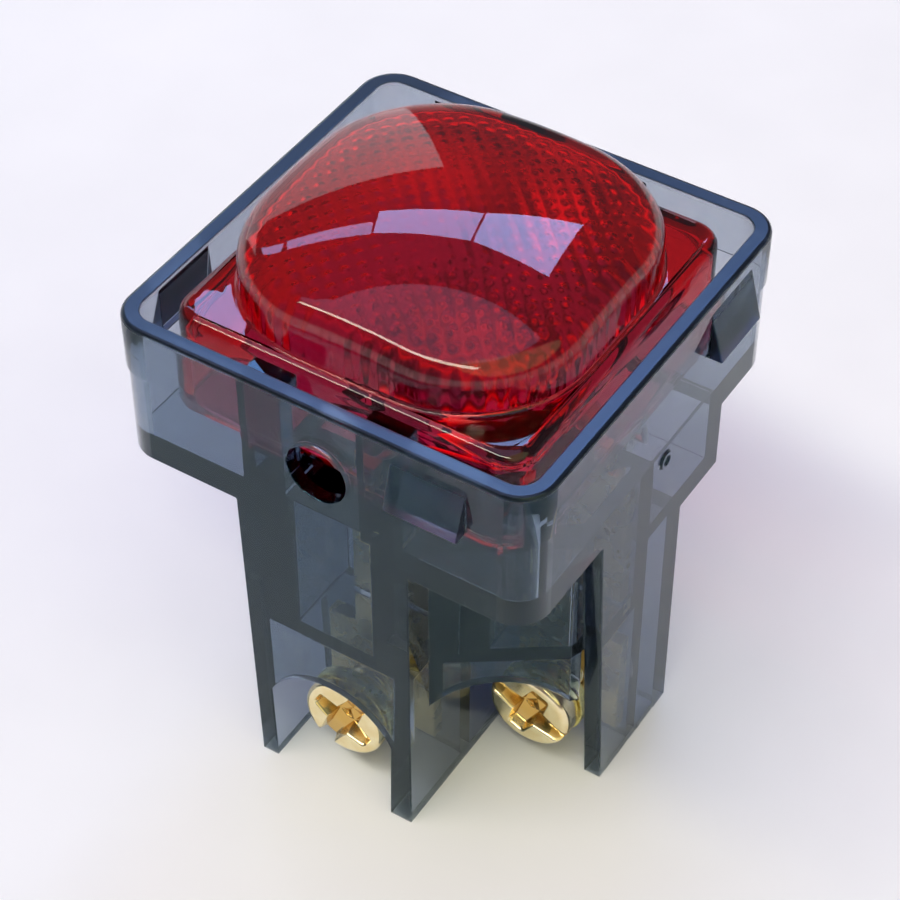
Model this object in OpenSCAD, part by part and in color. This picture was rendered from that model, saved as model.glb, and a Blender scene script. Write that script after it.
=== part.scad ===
// Panel pilot light: a snap-in indicator module with a domed red lens, a neon lamp
// and two brass screw terminals in one clear moulded housing.
// Origin: centre of the square frame, on the plane that the terminal fins stand on.
// -Y is the side that the terminal screws face, +Z is towards the lens.

/* [Frame] */
// Side of the square frame
frame_w = 36; // [35:0.5:42]
// Height of the frame from its underside to its rim
frame_h = 13; // [12.5:0.5:16]
// Thickness of the frame's side walls
wall_t = 1.2; // [1:0.1:1.5]
// Thickness of the floor of the frame
floor_t = 2; // [1.4:0.1:2.4]
// Radius of the frame's outer corners
frame_r = 2.8; // [2.4:0.1:4]
// How far the band round the rim stands out
band_out = 0.2; // [0.1:0.05:0.35]
// Height of the band round the rim
band_h = 4.8; // [4:0.1:6]
// Diameter of the hole in the front wall and in the back wall
side_hole_d = 5.1; // [4:0.1:5.6]
// Depth of the side holes below the rim
side_hole_drop = 6.5; // [6:0.1:7.5]

/* [Snap wedges] */
// Width of each snap wedge
wedge_w = 6.1; // [4:0.1:7]
// Distance of a wedge's middle from the middle of its wall
wedge_offset = 9.65; // [8:0.05:10.5]
// How far a wedge stands out at its lower end
wedge_out = 1.2; // [0.8:0.1:1.5]
// Depth of a wedge's thin upper end below the rim
wedge_top_drop = 1.1; // [0.8:0.1:1.6]
// Height of a wedge
wedge_h = 4.2; // [3.5:0.1:5]

/* [Lens] */
// Room between the frame's walls and the lens's skirt
skirt_room = 1.7; // [1.5:0.1:2.2]
// Height of the skirt's lower edge over the floor of the frame
skirt_lift = 2.5; // [2.3:0.1:3.2]
// Radius of the skirt's corners
skirt_r = 2.5; // [2:0.1:3.5]
// Thickness of the skirt's walls
skirt_t = 1.3; // [1:0.1:1.5]
// Thickness of the shoulder between the skirt and the dome
shoulder_t = 1.5; // [1.2:0.1:2]
// Depth of the shoulder below the rim
shoulder_drop = 0.2; // [0.1:0.1:0.6]
// Width of the shoulder between the skirt's side and the dome's side
shoulder_w = 1; // [0.8:0.1:2]
// Radius of the dome's corners in plan
dome_r = 10; // [7:0.1:12]
// Height of the dome's crown over the shoulder
dome_h = 6.4; // [5.4:0.1:7]
// Radius of the sphere that crowns the dome
crown_r = 50; // [40:1:70]
// Radius of the dome's upper edge
dome_edge_r = 1.2; // [0.8:0.1:1.5]
// Drop from the dome's crown to the top of its rounded edge
edge_drop = 1.6; // [1.4:0.1:2]
// Thickness of the dome's side walls
dome_t = 1.4; // [1.2:0.1:1.8]
// Thickness of the dome's roof at its crown, down to the prisms' valleys
roof_t = 1.5; // [1.2:0.1:1.8]
// Radius of the arc that the prisms follow
prism_arc_r = 42; // [36:1:60]
// Spacing of the prisms under the roof
prism_pitch = 1.5; // [1.2:0.05:2]
// Depth of the prisms
prism_depth = 0.5; // [0.3:0.05:0.6]
// Depth of the upright flutes inside the dome's side walls
flute_depth = 0.3; // [0.2:0.05:0.4]
// Gap between the lens and what locates it
lens_gap = 0.1; // [0.05:0.05:0.2]

/* [Terminal tower] */
// Height of the terminal tower under the frame
tower_h = 28.5; // [27:0.5:34]
// Thickness of the upright fins
fin_t = 1.5; // [1.2:0.1:1.7]
// Inside width of the left terminal cell
left_cell_w = 12.15; // [11:0.05:13]
// Inside width of the right terminal cell
right_cell_w = 8.8; // [8.6:0.1:9.2]
// How far the left fin leans in at its foot
fin_lean = 0.75; // [0:0.05:1]
// How far the divider thickens towards its foot
divider_lean = 0.5; // [0:0.05:0.8]
// Thickness of the arched aprons
apron_t = 1.4; // [1.2:0.1:1.6]
// Setback of the slanted right apron where it leaves the divider
slant_start = 2.8; // [2:0.1:4]
// Setback of the slanted right apron where it meets the right fin
slant_end = 10; // [9:0.1:11]
// How far the right fin's front edge leans back at its foot
right_lean = 2; // [0:0.1:2.5]
// Distance of the tower's back from the middle of the frame
tower_back = 4.6; // [4.4:0.1:5.4]
// Distance of the lamp chamber's back from the middle of the frame
chamber_back = 10.4; // [9.8:0.1:12]
// Height of the lamp chamber under the frame
chamber_h = 6.3; // [5.8:0.1:7]
// Height of the left arch's top over the feet
left_arch_top = 11.7; // [11.2:0.1:13]
// Radius of the left arch
left_arch_r = 6.2; // [6.1:0.1:8]
// Height of the right arch's top over the feet
right_arch_top = 14.1; // [12:0.1:14.8]
// Radius of the right arch
right_arch_r = 6.9; // [6:0.1:8]
// Height of the cells' ceiling over the feet
ceiling_z = 15.8; // [15:0.1:17]
// Thickness of the cells' ceiling and of the seat walls behind the terminals
web_t = 1.4; // [1.2:0.1:1.6]
// Width of the left shaft, which the left terminal rises through
left_shaft_w = 6.8; // [6:0.1:7.5]
// Width of the right shaft
right_shaft_w = 5; // [4.8:0.1:5.6]

/* [Terminals] */
// Height of the screws' axes over the feet
screw_z = 6.3; // [5.8:0.1:7]
// Depth of the left screw's face behind the front of the frame
left_face_in = 1.5; // [1.2:0.1:2]
// How much further back the right terminal sits
terminal_stagger = 8.7; // [8.5:0.1:8.9]
// Diameter of the screws' thread
thread_d = 4; // [3.5:0.1:4.2]
// Diameter of the screws' heads
head_d = 7.2; // [6.4:0.1:7.4]
// Thickness of the screws' heads
head_t = 2.1; // [1.8:0.1:2.3]
// Length of the screws under the head
screw_len = 6.3; // [6:0.1:6.6]
// Diameter of the captive clamp washers
washer_d = 7.6; // [7:0.1:7.9]
// Thickness of the clamp washers
washer_t = 1; // [0.8:0.1:1.2]
// Open space for the wire between a clamp washer and its terminal
wire_gap = 2.2; // [2.1:0.1:2.3]
// Thickness of the terminals' brass strip
strip_t = 1.2; // [1:0.1:1.3]
// Width of a terminal at its screw
strip_w = 8.2; // [7.8:0.1:8.4]
// Width of a terminal's neck
neck_w = 4.2; // [3.6:0.1:4.6]
// Running clearance round the screws' threads
thread_gap = 0.05; // [0.03:0.01:0.08]
// Clearance of a seated part
seat_gap = 0.05; // [0.03:0.01:0.1]

/* [Lamp circuit] */
// Diameter of the neon lamp's glass
lamp_d = 6; // [5:0.1:6.4]
// Length of the neon lamp's glass
lamp_len = 14; // [12:0.5:16]
// Thickness of the lamp's glass
glass_t = 0.6; // [0.4:0.1:0.8]
// Diameter of the lamp's electrodes
electrode_d = 0.9; // [0.7:0.1:1.1]
// Length of the lamp's electrodes inside the glass
electrode_len = 7.5; // [6:0.5:8.5]
// Distance between the lamp's two electrodes, middle to middle
electrode_pitch = 2; // [1.6:0.1:2.2]
// Diameter of the bare lead wires
lead_d = 0.6; // [0.5:0.05:0.7]
// Diameter of the resistor's body
resistor_d = 2.4; // [2:0.1:2.8]
// Length of the resistor's body
resistor_len = 6.4; // [6:0.1:7]
// Outside diameter of the insulating sleeves
sleeve_d = 1.4; // [1.2:0.1:1.6]

/* [Hidden] */

$fn = 64;
past = 0.5;                                   // how far a cut runs past a face

smoke = [0.25, 0.29, 0.36, 0.55];
red = [0.72, 0.02, 0.07, 0.75];
brass = [0.83, 0.68, 0.32];
tin = [0.72, 0.72, 0.70];

// Heights
floor_z = tower_h + floor_t;
rim_z = tower_h + frame_h;
skirt_top_z = rim_z - shoulder_drop;
skirt_z = floor_z + skirt_lift;
crown_z = skirt_top_z + dome_h;
side_hole_z = rim_z - side_hole_drop;
chamber_z = tower_h - chamber_h;

// The tower's faces across the frame, from the flush right side leftwards
front_y = -frame_w / 2;
right_out = frame_w / 2;
right_in = right_out - fin_t;
divider_r = right_in - right_cell_w;
divider_l = divider_r - fin_t;
left_in = divider_l - left_cell_w;
left_out = left_in - fin_t;
inner_w = frame_w - 2 * wall_t;

// The lens: sides of its square skirt and of its dome
skirt_w = inner_w - 2 * skirt_room;
dome_w = skirt_w - 2 * shoulder_w;

// The terminals: each screw's axis, and the faces behind it from front to back
left_screw_x = (left_in + divider_l + (fin_lean - divider_lean) * (1 - screw_z / tower_h)) / 2;
right_screw_x = (divider_r + right_in) / 2;
left_face_y = front_y + left_face_in;
right_face_y = left_face_y + terminal_stagger;
strip_in = head_t + seat_gap + washer_t + wire_gap;     // face of the head to face of the strip
seat_in = strip_in + strip_t + seat_gap;                // face of the head to the seat wall
left_seat_y = left_face_y + seat_in;
right_seat_y = right_face_y + seat_in;
left_shaft_x = (left_in + divider_l) / 2 + 0.6;
right_shaft_x = right_in - right_shaft_w / 2 - 0.9;
shaft_z = ceiling_z + web_t;

// ---------- shared shapes ----------

// Square with true round corners, centred on the origin
module rounded_square(w, r) {
  square([w, w - 2 * r], center = true);
  square([w - 2 * r, w], center = true);
  for (sx = [-1, 1], sy = [-1, 1])
    translate([sx * (w / 2 - r), sy * (w / 2 - r)])
      circle(r);
}

// Upright block with round corners, from z0 to z1
module rounded_block(w, r, z0, z1) {
  translate([0, 0, z0])
    linear_extrude(z1 - z0)
      rounded_square(w, r);
}

// Box between two corners
module box(low, high) {
  translate(low)
    cube(high - low);
}

// Outline drawn in X and Z, made solid from y0 to y1
module slab(y0, y1) {
  translate([0, y1, 0])
    rotate([90, 0, 0])
      linear_extrude(y1 - y0)
        children();
}

// Cylinder along Y from y0 to y1
module rod_y(x, z, d, y0, y1) {
  translate([x, y0, z])
    rotate([-90, 0, 0])
      cylinder(d = d, h = y1 - y0);
}

// Unit vector
function unit(v) = v / norm(v);

// Direction of a path at its point i
function heading(path, i) =
  unit(path[min(i + 1, len(path) - 1)] - path[max(i - 1, 0)]);

// Side direction at each point of a path, carried along from u without twist
function carried(path, u, i = 0) =
  i == len(path) ? []
  : let (t = heading(path, i), v = unit(u - (u * t) * t)) concat([v], carried(path, v, i + 1));

// Ring of points round p, in the plane of u and v
function ring(p, u, v, r, sides) =
  [for (k = [0 : sides - 1]) p + r * (cos(360 * k / sides) * u + sin(360 * k / sides) * v)];

// Round wire along a path
module wire(path, d) {
  sides = 8;
  last = len(path) - 1;
  us = carried(path, [0.31, 0.47, 0.83]);
  points = [for (i = [0 : last])
    each ring(path[i], us[i], cross(heading(path, i), us[i]), d / 2, sides)];
  walls = [for (i = [0 : last - 1], k = [0 : sides - 1])
    let (a = i * sides + k, b = i * sides + (k + 1) % sides)
    each [[a, a + sides, b + sides], [a, b + sides, b]]];
  start = [[for (k = [0 : sides - 1]) k]];
  end = [[for (k = [sides - 1 : -1 : 0]) last * sides + k]];
  polyhedron(points, concat(start, walls, end));
}

// ---------- housing ----------

// Faces of the left cell at height z: its fin and divider lean in towards the feet
function left_in_at(z) = left_in + fin_lean * (1 - z / tower_h);
function divider_l_at(z) = divider_l - divider_lean * (1 - z / tower_h);

// Front face of the slanted right apron at x, and its back face
slant_dir = unit([right_out - divider_r, slant_end - slant_start]);
function slant_y(x) = front_y + slant_start + (x - divider_r) * slant_dir[1] / slant_dir[0];
function slant_back_y(x) = slant_y(x) + apron_t / slant_dir[0];

// Inside of the left cell in X and Z, from its open foot up to z_top
module left_cell_outline(z_top) {
  polygon([[left_in_at(-past), -past], [divider_l_at(-past), -past],
           [divider_l_at(z_top), z_top], [left_in_at(z_top), z_top]]);
}

// Opening under an arch of radius r whose top is at height top, centred on x = 0
module arch_outline(r, top, half_w) {
  intersection() {
    union() {
      translate([0, top - r])
        circle(r);
      translate([-r, -past])
        square([2 * r, top - r + past]);
    }
    translate([-half_w, -past])
      square([2 * half_w, top + 2 * past]);
  }
}

// Square frame with the band round its rim
module frame_outside() {
  rounded_block(frame_w, frame_r, tower_h, rim_z);
  rounded_block(frame_w + 2 * band_out, frame_r + band_out, rim_z - band_h, rim_z);
}

// Snap wedge on one wall, thin at its top and thick at its foot
module snap_wedge() {
  top = rim_z - wedge_top_drop;
  embed = wall_t / 2;
  translate([wedge_offset - wedge_w / 2, front_y, 0])
    rotate([90, 0, 90])
      linear_extrude(wedge_w)
        polygon([[embed, top], [-band_out, top], [-band_out - wedge_out, top - wedge_h],
                 [embed, top - wedge_h]]);
}

// Outside of the two terminal cells and of the lamp chamber behind them
module tower_outside() {
  into_floor = tower_h + floor_t / 2;
  slab(front_y, tower_back)
    polygon([[left_in_at(0) - fin_t, 0], [divider_r, 0], [divider_r, into_floor],
             [left_out, into_floor], [left_out, tower_h]]);
  linear_extrude(into_floor)
    polygon([[divider_r - fin_t / 2, slant_y(divider_r)], [divider_r, slant_y(divider_r)],
             [right_out, slant_y(right_out)], [right_out, tower_back],
             [divider_r - fin_t / 2, tower_back]]);
  box([left_out, 0, chamber_z], [right_out, chamber_back, into_floor]);
}

// Open cell under the left arch, and the shaft that its terminal rises through
module left_cell_cuts() {
  cell_x = (left_in_at(0) + divider_l_at(0)) / 2;
  slab(front_y + apron_t, left_seat_y)
    left_cell_outline(ceiling_z);
  slab(front_y - past, front_y + apron_t + past)
    intersection() {
      left_cell_outline(ceiling_z);
      translate([cell_x, 0])
        arch_outline(left_arch_r, left_arch_top, left_arch_r);
    }
  box([left_shaft_x - left_shaft_w / 2, front_y + apron_t, shaft_z],
      [left_shaft_x + left_shaft_w / 2, left_seat_y, floor_z + past]);
  neck_slot(left_shaft_x, left_seat_y);
  slab(left_seat_y + web_t, tower_back - web_t)
    left_cell_outline(chamber_z);
}

// Open cell under the slanted right arch, and its shaft
module right_cell_cuts() {
  shaft_l = right_shaft_x - right_shaft_w / 2;
  shaft_r = right_shaft_x + right_shaft_w / 2;
  arch_w = right_cell_w / slant_dir[0];
  translate([0, 0, -past])
    linear_extrude(ceiling_z + past)
      polygon([[divider_r, slant_back_y(divider_r)], [right_in, slant_back_y(right_in)],
               [right_in, right_seat_y], [divider_r, right_seat_y]]);
  intersection() {
    translate([divider_r, slant_y(divider_r), 0])
      rotate([0, 0, atan2(slant_dir[1], slant_dir[0])])
        translate([arch_w / 2, 0, 0])
          slab(-2 * apron_t, 2 * apron_t)
            arch_outline(right_arch_r, right_arch_top, arch_w);
    box([divider_r, front_y, -past], [right_in, tower_back, ceiling_z]);
  }
  translate([0, 0, shaft_z])
    linear_extrude(floor_z - shaft_z + past)
      polygon([[shaft_l, slant_back_y(shaft_l)], [shaft_r, slant_back_y(shaft_r)],
               [shaft_r, right_seat_y], [shaft_l, right_seat_y]]);
  neck_slot(right_shaft_x, right_seat_y);
  box([divider_r, right_seat_y + web_t, -past], [right_in, tower_back - web_t, chamber_z]);
}

// Slot in a cell's ceiling for the neck of its terminal
module neck_slot(x, seat_y) {
  half = neck_w / 2 + seat_gap;
  box([x - half, seat_y - strip_t - 2 * seat_gap, ceiling_z - past],
      [x + half, seat_y, shaft_z + past]);
}

// Sloping cut that leans the right fin's front edge back towards its foot
module right_lean_cut() {
  edge_y = slant_y(right_out);
  translate([right_in, 0, 0])
    rotate([90, 0, 90])
      linear_extrude(fin_t + past)
        polygon([[edge_y, tower_h], [edge_y + right_lean, 0], [edge_y + right_lean, -past],
                 [slant_y(right_in) - past, -past], [slant_y(right_in) - past, tower_h]]);
}

// Clearance for a screw's end in the seat wall behind its terminal
module screw_clearance(x, seat_y) {
  rod_y(x, screw_z, thread_d + 1, seat_y - past, seat_y + web_t + past);
}

// Hollow under the lens for the lamp, and the chamber under it for the resistor
module lamp_cuts() {
  floor_in = chamber_z + web_t;
  rounded_block(inner_w, frame_r - wall_t, floor_z, rim_z + past);
  box([left_in, right_seat_y + web_t, floor_in],
      [right_in, chamber_back - web_t, floor_z + past]);
  box([left_in, left_seat_y + web_t, floor_in],
      [divider_l, right_seat_y + web_t + past, floor_z + past]);
}

// Post on the inside of a wall that locates the lens, with the step that its skirt stands on
post_w = 3.6;
post_x = 5.1;
post_drop = 0.6;
module lens_post(x) {
  wall_y = inner_w / 2 + wall_t / 2;
  lens_y = skirt_w / 2 + lens_gap;
  box([x - post_w / 2, -wall_y, floor_z - floor_t / 2], [x + post_w / 2, -lens_y, rim_z - post_drop]);
  box([x - post_w / 2, -wall_y, floor_z - floor_t / 2],
      [x + post_w / 2, skirt_t - skirt_w / 2, skirt_z]);
}

// Rib across the chamber with a round notch that holds the lamp
cradle_t = 1.2;
cradle_edge = 0.8;
cradle_w = lamp_d + 2 * cradle_edge;
cradle_pitch = 6.4;
lamp_y = (left_seat_y + web_t + chamber_back - web_t) / 2;
lamp_z = floor_z + lamp_d / 2 + 0.5;
module lamp_cradle(x) {
  difference() {
    box([x - cradle_t / 2, lamp_y - cradle_w / 2, chamber_z + web_t / 2],
        [x + cradle_t / 2, lamp_y + cradle_w / 2, lamp_z]);
    translate([x - cradle_t, lamp_y, lamp_z])
      rotate([0, 90, 0])
        cylinder(d = lamp_d + 2 * seat_gap, h = 2 * cradle_t);
  }
}

// Small ring left by the moulding gate on the right wall
module gate_mark() {
  gate_y = 1.2;
  gate_drop = 11.4;
  gate_d = 1.6;
  gate_h = 0.2;
  translate([right_out - past, gate_y, rim_z - gate_drop])
    rotate([0, 90, 0])
      difference() {
        cylinder(d = gate_d, h = past + gate_h);
        translate([0, 0, past])
          cylinder(d = gate_d / 2, h = past);
      }
}

module housing() {
  color(smoke) {
    difference() {
      union() {
        frame_outside();
        tower_outside();
        for (turn = [0 : 90 : 270])
          rotate(turn)
            snap_wedge();
      }
      lamp_cuts();
      left_cell_cuts();
      right_cell_cuts();
      right_lean_cut();
      screw_clearance(left_screw_x, left_seat_y);
      screw_clearance(right_screw_x, right_seat_y);
      for (turn = [0, 180])
        rotate(turn)
          rod_y(0, side_hole_z, side_hole_d, front_y - past, front_y + wall_t + past);
    }
    for (turn = [0, 180], side = [-1, 1])
      rotate(turn)
        lens_post(side * post_x);
    for (side = [-1, 1])
      lamp_cradle(side * cradle_pitch / 2);
    gate_mark();
  }
}

// ---------- lens ----------

// Block with round corners and a rounded shoulder at z1, whose middle goes on up to z2
module pillow_block(w, r, z0, z1, z2, edge_r) {
  rounded_block(w, r, z0, z1 - edge_r);
  rounded_block(w - 2 * edge_r, r - edge_r, z0, z2);
  translate([0, 0, z1 - edge_r])
    for (turn = [0 : 90 : 270])
      rotate(turn) {
        translate([w / 2 - edge_r, r - w / 2, 0])
          rotate([-90, 0, 0])
            cylinder(r = edge_r, h = w - 2 * r);
        translate([w / 2 - r, w / 2 - r, 0])
          rotate_extrude(angle = 90)
            translate([r - edge_r, 0])
              intersection() {
                circle(edge_r);
                square(edge_r);
              }
      }
}

// One quarter of the dome's inside outline, with a flute at every prism pitch
function flute_quarter(w, r) =
  let (side = w - 2 * r, n_side = round(side / prism_pitch),
       n_arc = round(PI * r / 2 / prism_pitch))
  concat(
    [for (i = [0 : 2 * n_side - 1])
      [w / 2 - flute_depth * (i % 2), -side / 2 + side * i / (2 * n_side)]],
    [for (i = [0 : 2 * n_arc - 1])
      let (a = 45 * i / n_arc, rr = r - flute_depth * (i % 2))
      [side / 2 + rr * cos(a), side / 2 + rr * sin(a)]]);

// The whole fluted outline
function fluted_outline(w, r) =
  [for (turn = [0 : 90 : 270], p = flute_quarter(w, r))
    [p[0] * cos(turn) - p[1] * sin(turn), p[0] * sin(turn) + p[1] * cos(turn)]];

// Height of the prisms' valleys at u from the middle
prism_crown_z = crown_z - roof_t - prism_depth;
function prism_z(u) = prism_crown_z - prism_arc_r + sqrt(pow(prism_arc_r, 2) - u * u);

// Saw-tooth outline of the hollow under the roof, in X and Z
module prism_outline(half_w, z0) {
  n = ceil(half_w / prism_pitch);
  polygon(concat([[n * prism_pitch, z0], [-n * prism_pitch, z0]],
    [for (i = [-2 * n : 2 * n])
      let (u = i * prism_pitch / 2)
      [u, prism_z(u) + (i % 2 == 0 ? 0 : prism_depth)]]));
}

// Hollow of the dome: fluted walls under a roof of crossed prisms
module dome_hollow() {
  w = dome_w - 2 * dome_t;
  z0 = skirt_top_z - shoulder_t - past;
  intersection() {
    translate([0, 0, z0])
      linear_extrude(crown_z - z0)
        polygon(fluted_outline(w, dome_r - dome_t));
    slab(-w / 2 - past, w / 2 + past)
      prism_outline(w / 2 + past, z0 - past);
    rotate(90)
      slab(-w / 2 - past, w / 2 + past)
        prism_outline(w / 2 + past, z0 - past);
  }
}

module lens() {
  color(red)
    difference() {
      union() {
        rounded_block(skirt_w, skirt_r, skirt_z, skirt_top_z);
        intersection() {
          pillow_block(dome_w, dome_r, skirt_top_z - shoulder_t / 2, crown_z - edge_drop,
                       crown_z, dome_edge_r);
          translate([0, 0, crown_z - crown_r])
            sphere(crown_r, $fn = 128);
        }
      }
      rounded_block(skirt_w - 2 * skirt_t, skirt_r - skirt_t, skirt_z - past,
                    skirt_top_z - shoulder_t);
      dome_hollow();
    }
}

// ---------- terminals ----------

// Folded brass terminal: threaded plate at the screw, neck, and a tag for the lead
tag_w = 2.4;
tag_hole_d = 0.9;
tag_rise = 1;
tag_z = floor_z + tag_rise;
plate_below = 4.2;
plate_above = 6;
module terminal(screw_x, neck_x, seat_y) {
  back = seat_y - seat_gap;
  front = back - strip_t;
  color(brass)
    difference() {
      union() {
        box([screw_x - strip_w / 2, front, screw_z - plate_below],
            [screw_x + strip_w / 2, back, screw_z + plate_above]);
        box([neck_x - neck_w / 2, front, screw_z], [neck_x + neck_w / 2, back, tag_z - tag_w / 2]);
        box([neck_x - tag_w / 2, front, screw_z], [neck_x + tag_w / 2, back, tag_z + tag_w / 2]);
      }
      rod_y(screw_x, screw_z, thread_d + 2 * thread_gap, front - past, back + past);
      rod_y(neck_x, tag_z, tag_hole_d, front - past, back + past);
    }
}

// Captive round washer under a screw's head
module clamp_washer(x, face_y) {
  front = face_y + head_t + seat_gap;
  color(brass)
    difference() {
      rod_y(x, screw_z, washer_d, front, front + washer_t);
      rod_y(x, screw_z, thread_d + 2 * thread_gap, front - past, front + washer_t + past);
    }
}

// Screw with a combined slot and cross recess, its slot turned by turn
slot_w = 1.2;
slot_deep = 0.8;
cross_w = 1.5;
cross_len = 4.4;
cross_deep = 1.3;
head_edge = 0.3;
point_h = 0.6;
module terminal_screw(x, face_y, turn) {
  translate([x, face_y, screw_z])
    rotate([-90, 0, 0])
      rotate(-turn)
        color(brass)
          difference() {
            union() {
              cylinder(d1 = head_d - 2 * head_edge, d2 = head_d, h = head_edge);
              translate([0, 0, head_edge])
                cylinder(d = head_d, h = head_t - head_edge);
              cylinder(d = thread_d, h = head_t + screw_len - point_h);
              translate([0, 0, head_t + screw_len - point_h])
                cylinder(d1 = thread_d, d2 = thread_d - 2 * point_h, h = point_h);
            }
            translate([-head_d / 2 - past, -slot_w / 2, -past])
              cube([head_d + 2 * past, slot_w, past + slot_deep]);
            for (arm = [0, 90])
              rotate(arm)
                translate([-cross_len / 2, -cross_w / 2, -past])
                  cube([cross_len, cross_w, past + cross_deep]);
          }
}

// ---------- lamp circuit ----------

lamp_shift = 0.5;
lamp_x0 = -lamp_len / 2 - lamp_shift;
lamp_x1 = lamp_x0 + lamp_len;
seal_len = 2;
seal_x = lamp_x1 - seal_len;
lead_gap = seat_gap;
lead_room = 1;
resistor_lift = 0.3;
resistor_y = chamber_back - web_t - resistor_d / 2 - lead_room;
resistor_z = chamber_z + web_t + resistor_d / 2 + resistor_lift;
resistor_gap = 1.7;
resistor_x1 = right_shaft_x - resistor_gap;
resistor_x0 = resistor_x1 - resistor_len;
cap_t = 0.25;
cap_len = 1.3;
joint_len = 1.6;
joint_gap = 1.8;
joint_x0 = resistor_x0 - joint_gap - joint_len;

// Rounded rod along X from x0 to x1: a cylinder with a domed end at x0
module domed_rod(x0, x1, r) {
  dome = 1.15 * r;
  translate([x0, lamp_y, lamp_z])
    rotate([0, 90, 0])
      intersection() {
        cylinder(r = r, h = x1 - x0);
        union() {
          translate([0, 0, dome])
            sphere(dome, $fn = 32);
          translate([0, 0, dome])
            cylinder(r = 2 * r, h = x1 - x0);
        }
      }
}

// Glass envelope of the neon lamp, sealed round the two leads at its right end
module neon_glass() {
  color([0.9, 0.9, 0.9, 0.4])
    difference() {
      domed_rod(lamp_x0, lamp_x1, lamp_d / 2);
      domed_rod(lamp_x0 + glass_t, seal_x, lamp_d / 2 - glass_t);
      for (side = [-1, 1])
        translate([seal_x - past, lamp_y + side * electrode_pitch / 2, lamp_z])
          rotate([0, 90, 0])
            cylinder(d = lead_d + 2 * lead_gap, h = seal_len + 2 * past);
    }
}

// Electrode rod inside the glass with the lead wire that it is drawn from
module neon_electrode(side, path) {
  y = lamp_y + side * electrode_pitch / 2;
  color(tin) {
    translate([seal_x - 0.3 - electrode_len, y, lamp_z])
      rotate([0, 90, 0])
        cylinder(d = electrode_d, h = electrode_len);
    wire(concat([[seal_x - 1, y, lamp_z], [lamp_x1 + 0.5, y, lamp_z]], path), lead_d);
  }
}

// Routes of the leads outside the glass: each bend is one or more lead_bend long
lead_bend = 0.9;
stub_len = 0.8;
front_y_lead = lamp_y - electrode_pitch / 2;
back_y_lead = lamp_y + electrode_pitch / 2;
left_strip_y = left_seat_y - seat_gap - strip_t;
right_strip_y = right_seat_y - seat_gap - strip_t;
front_bend = [lamp_x1 + 1.6 * lead_bend, front_y_lead - lead_bend, lamp_z - lead_bend / 3];
front_end = [left_shaft_x + 2 * lead_bend, left_seat_y + 2.4 * lead_bend, tag_z + lead_bend / 2];
front_path = [front_bend, front_bend + 0.3 * (front_end - front_bend),
              front_bend + 0.8 * (front_end - front_bend), front_end,
              [left_shaft_x + lead_bend / 3, left_seat_y + 1.5 * lead_bend, tag_z],
              [left_shaft_x, left_seat_y + lead_bend / 2, tag_z],
              [left_shaft_x, left_strip_y - stub_len, tag_z]];
back_bend = [lamp_x1 + lead_bend, resistor_y, lamp_z - 1.6 * lead_bend];
back_end = [joint_x0 - 1.6 * lead_bend, resistor_y, resistor_z + 2.2 * lead_bend];
back_path = [[lamp_x1 + 1.6 * lead_bend, back_y_lead + lead_bend, lamp_z],
             [lamp_x1 + 2 * lead_bend, (back_y_lead + resistor_y) / 2 + lead_bend, lamp_z - lead_bend / 2],
             back_bend,
             back_bend + 0.1 * (back_end - back_bend),
             back_bend + 0.8 * (back_end - back_bend), back_end,
             [joint_x0 - 1.8 * lead_bend, resistor_y, resistor_z + 0.7 * lead_bend],
             [joint_x0 - lead_bend, resistor_y, resistor_z],
             [joint_x0 + joint_len * 0.44, resistor_y, resistor_z]];
left_lead_path = [[resistor_x0 - cap_t, resistor_y, resistor_z],
                  [joint_x0 + joint_len * 0.56, resistor_y, resistor_z]];
right_lead_path = [[resistor_x1 + cap_t, resistor_y, resistor_z],
                   [resistor_x1 + 0.7 * resistor_gap, resistor_y, resistor_z],
                   [right_shaft_x - lead_bend / 4, resistor_y - 0.7 * lead_bend, resistor_z + lead_bend],
                   [right_shaft_x, resistor_y - 1.8 * lead_bend, resistor_z + 3.8 * lead_bend],
                   [right_shaft_x, right_seat_y + 3 * lead_bend, tag_z - lead_bend / 2],
                   [right_shaft_x, right_seat_y + 1.8 * lead_bend, tag_z],
                   [right_shaft_x, right_strip_y - stub_len, tag_z]];

// Ceramic rod of the series resistor
module resistor_body() {
  color([0.45, 0.62, 0.66])
    translate([resistor_x0, resistor_y, resistor_z])
      rotate([0, 90, 0])
        cylinder(d = resistor_d, h = resistor_len);
}

// Metal cap pressed on an end of the resistor, opening towards +X at x = 0
module resistor_cap() {
  color(tin)
    rotate([0, 90, 0])
      difference() {
        translate([0, 0, -cap_t])
          cylinder(d = resistor_d + 2 * (cap_t + seat_gap), h = cap_t + cap_len);
        cylinder(d = resistor_d + 2 * seat_gap, h = cap_len + past);
      }
}

// Bare lead wire
module bare_lead(path) {
  color(tin)
    wire(path, lead_d);
}

// Insulating sleeve on the straight run of a lead between a and b
module sleeve(a, b) {
  run = b - a;
  color([0.93, 0.9, 0.8])
    translate(a)
      rotate([0, acos(run[2] / norm(run)), atan2(run[1], run[0])])
        difference() {
          cylinder(d = sleeve_d, h = norm(run));
          translate([0, 0, -past])
            cylinder(d = lead_d + 2 * lead_gap, h = norm(run) + 2 * past);
        }
}

// Solder fillet round a lead where it comes through a tag's front face
fillet_h = 0.6;
module tag_solder(x, strip_y) {
  color(tin)
    translate([x, strip_y, tag_z])
      rotate([90, 0, 0])
        difference() {
          cylinder(d1 = 2 * sleeve_d * 0.8, d2 = sleeve_d * 0.8, h = fillet_h);
          translate([0, 0, -past])
            cylinder(d = lead_d + 2 * lead_gap, h = fillet_h + 2 * past);
        }
}

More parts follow.
